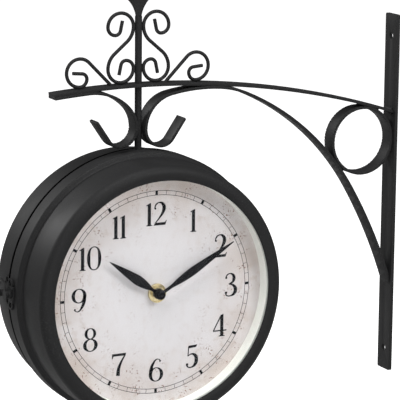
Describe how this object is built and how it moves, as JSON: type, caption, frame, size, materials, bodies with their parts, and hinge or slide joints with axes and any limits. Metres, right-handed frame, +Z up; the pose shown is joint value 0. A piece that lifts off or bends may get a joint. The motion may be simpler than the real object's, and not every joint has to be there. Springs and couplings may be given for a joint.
{
  "type": "double sided station clock with wall bracket",
  "caption": "Round double sided wall clock in a deep drum case that hangs from a scrolled flat bar wall bracket; the rear half opens on a hinge and shuts with a hook latch.",
  "frame": {"origin": "halfway between the two screw holes of the wall bar, on its back face, which lies on the wall", "axes": "+Z up, +X into the wall, so the clock hangs on the -X side; the front dial looks along -Y and the rear dial along +Y"},
  "size_m": [0.3677, 0.0988, 0.4009],
  "materials": {
    "black_satin": "satin black paint on steel",
    "clear_glass": "clear flat glass",
    "cream_ring": "matt cream",
    "printed_dial": "aged off white print on sheet metal",
    "black_hands": "satin black sheet metal",
    "brass": "bright brass",
    "zinc_steel": "zinc plated",
    "movement_case": "black moulded plastic",
    "battery_jacket": "plain printed steel jacket"
  },
  "bodies": {
    "bracket_and_front_case": {"wall_bar": "black_satin", "arm": "black_satin", "brace": "black_satin", "left_scroll": "black_satin", "corner_ring": "black_satin", "stem": "black_satin", "stem_washer": "zinc_steel", "stem_nut": "zinc_steel", "finial": "black_satin", "s_scroll_right": "black_satin", "s_scroll_left": "black_satin", "outer_scroll_right": "black_satin", "outer_scroll_left": "black_satin", "weld_beads": "black_satin", "front_shell": "black_satin", "front_glass": "clear_glass", "front_spacer_ring": "cream_ring", "front_dial": "printed_dial", "front_dial_clips": "zinc_steel", "front_movement": "movement_case", "front_battery": "battery_jacket", "front_dial_washer": "brass", "front_dial_nut": "brass", "hinge_leaf_front": "black_satin", "hinge_pin": "black_satin", "hinge_rivets_front": "black_satin", "latch_plate_front": "black_satin", "latch_keeper": "black_satin", "latch_rivets_front": "black_satin"},
    "rear_door": {"rear_shell": "black_satin", "rear_glass": "clear_glass", "rear_spacer_ring": "cream_ring", "rear_dial": "printed_dial", "rear_dial_clips": "zinc_steel", "rear_movement": "movement_case", "rear_battery": "battery_jacket", "rear_dial_washer": "brass", "rear_dial_nut": "brass", "hinge_leaf_rear": "black_satin", "hinge_rivets_rear": "black_satin", "latch_plate_rear": "black_satin", "latch_pin": "black_satin", "latch_rivets_rear": "black_satin"},
    "latch_hook": {"latch_hook": "black_satin"},
    "front_minute": {"front_minute_hand": "black_hands", "front_minute_shaft": "brass", "front_hand_cap": "black_hands"},
    "front_hour": {"front_hour_hand": "black_hands"},
    "front_knob": {"front_set_knob": "movement_case"},
    "rear_minute": {"rear_minute_hand": "black_hands", "rear_minute_shaft": "brass", "rear_hand_cap": "black_hands"},
    "rear_hour": {"rear_hour_hand": "black_hands"},
    "rear_knob": {"rear_set_knob": "movement_case"}
  },
  "joints": [
    {"name": "door_hinge", "type": "hinge", "parent": "bracket_and_front_case", "child": "rear_door", "pos_m": [-0.1272, 0.0042, -0.0575], "axis": [0, 0, -1], "range_deg": [0, 110]},
    {"name": "latch_swing", "type": "hinge", "parent": "rear_door", "child": "latch_hook", "pos_m": [-0.36505, 0.0142, -0.0575], "axis": [-1, 0, 0], "range_deg": [0, 100]},
    {"name": "front_minute_turn", "type": "hinge", "parent": "bracket_and_front_case", "child": "front_minute", "pos_m": [-0.2445, -0.0447, -0.0575], "axis": [0, 1, 0], "continuous": true},
    {"name": "front_hour_turn", "type": "hinge", "parent": "bracket_and_front_case", "child": "front_hour", "pos_m": [-0.2445, -0.0447, -0.0575], "axis": [0, 1, 0], "continuous": true},
    {"name": "front_knob_turn", "type": "hinge", "parent": "bracket_and_front_case", "child": "front_knob", "pos_m": [-0.2445, -0.0447, -0.0445], "axis": [0, 1, 0], "continuous": true},
    {"name": "rear_minute_turn", "type": "hinge", "parent": "rear_door", "child": "rear_minute", "pos_m": [-0.2445, 0.0353, -0.0575], "axis": [0, -1, 0], "continuous": true},
    {"name": "rear_hour_turn", "type": "hinge", "parent": "rear_door", "child": "rear_hour", "pos_m": [-0.2445, 0.0353, -0.0575], "axis": [0, -1, 0], "continuous": true},
    {"name": "rear_knob_turn", "type": "hinge", "parent": "rear_door", "child": "rear_knob", "pos_m": [-0.2445, 0.0353, -0.0445], "axis": [0, -1, 0], "continuous": true}
  ],
  "couplings": [
    {"joint": "front_hour_turn", "follows": "front_minute_turn", "ratio": 0.083333},
    {"joint": "front_knob_turn", "follows": "front_minute_turn", "ratio": -3},
    {"joint": "rear_hour_turn", "follows": "rear_minute_turn", "ratio": 0.083333},
    {"joint": "rear_knob_turn", "follows": "rear_minute_turn", "ratio": -3}
  ]
}
